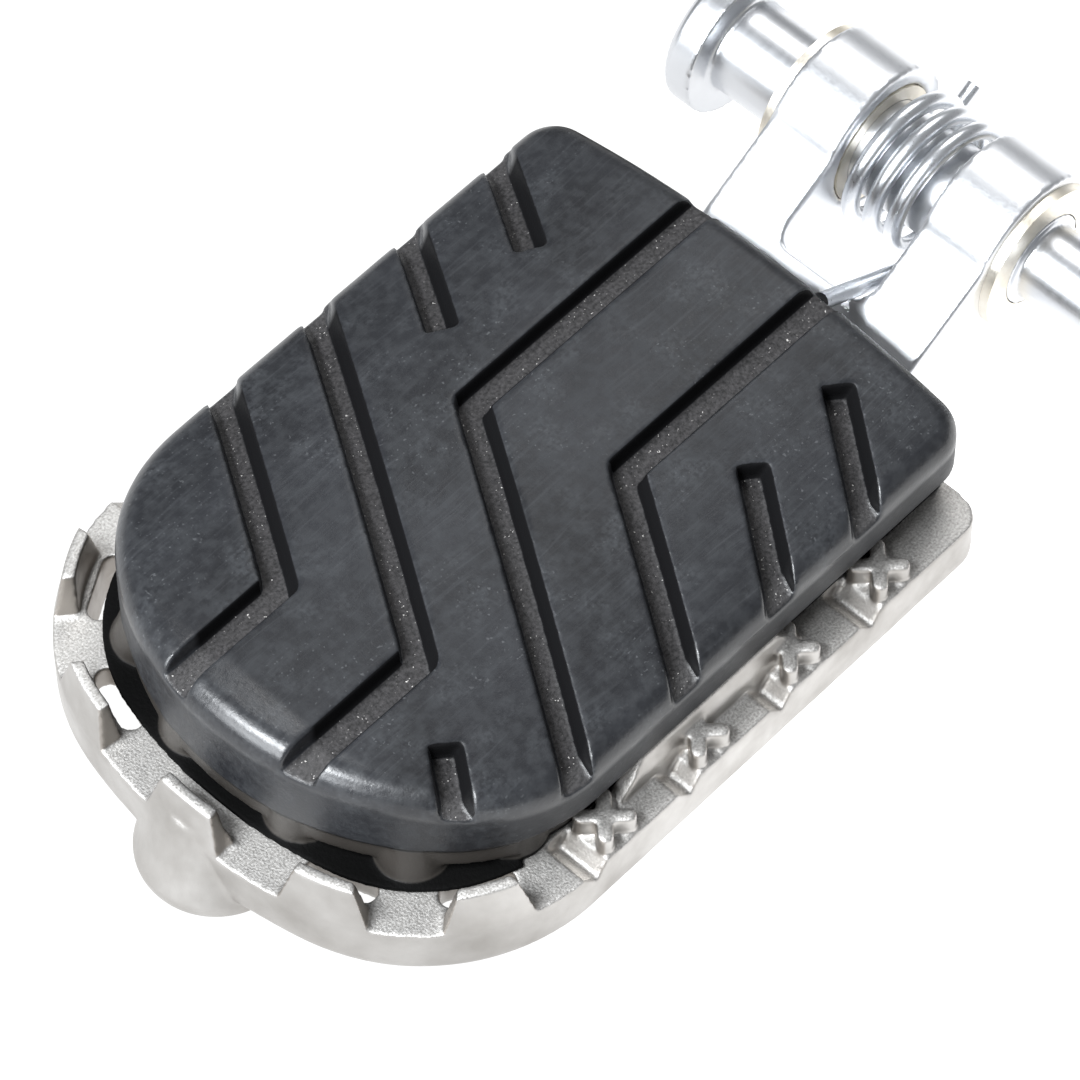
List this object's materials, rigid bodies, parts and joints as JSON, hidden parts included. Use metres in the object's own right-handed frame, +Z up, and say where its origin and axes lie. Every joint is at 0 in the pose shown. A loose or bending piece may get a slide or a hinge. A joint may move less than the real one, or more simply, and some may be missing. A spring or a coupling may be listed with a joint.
{
  "type": "motorcycle footpeg",
  "caption": "Folding motorcycle footpeg: cast steel platform with a toothed rim, thick grooved rubber tread pad, sprung hinge joint and pivot pin.",
  "frame": {"origin": "on the pivot axis, at the shoulder where the pin's thinner free end starts", "axes": "+Y along the pivot axis towards the pin's free end, +X along the peg to its outer end, +Z up from the tread"},
  "size_m": [0.1162, 0.0596, 0.0221],
  "materials": {
    "cast_steel": "satin cast stainless steel, grainy on the tooth tops and lands",
    "pad_rubber": "matt moulded rubber, charcoal",
    "joint_steel": "satin machined steel",
    "insert_brass": "turned brass",
    "fastener_steel": "plain stainless steel",
    "bush_brass": "turned bearing bronze",
    "pin_steel": "ground steel",
    "spring_steel": "drawn spring wire"
  },
  "bodies": {
    "pivot": {"pivot_pin": "pin_steel"},
    "peg": {"platform": "cast_steel", "tread_pad": "pad_rubber", "hinge_joint": "joint_steel", "pad_insert_inner": "insert_brass", "pad_insert_outer": "insert_brass", "pad_washer_inner": "fastener_steel", "pad_washer_outer": "fastener_steel", "pad_screw_inner": "fastener_steel", "pad_screw_outer": "fastener_steel", "joint_screw_inner_left": "fastener_steel", "joint_screw_inner_right": "fastener_steel", "joint_screw_outer_left": "fastener_steel", "joint_screw_outer_right": "fastener_steel", "pivot_bush_left": "bush_brass", "pivot_bush_right": "bush_brass", "return_spring": "spring_steel"}
  },
  "joints": [
    {"name": "fold", "type": "hinge", "parent": "pivot", "child": "peg", "pos_m": [0, 0, 0], "axis": [0, -1, 0], "range_deg": [0, 90], "stiffness_Nm_per_rad": 0.15, "springref_deg": -85.94, "deforming": ["return_spring"]}
  ]
}
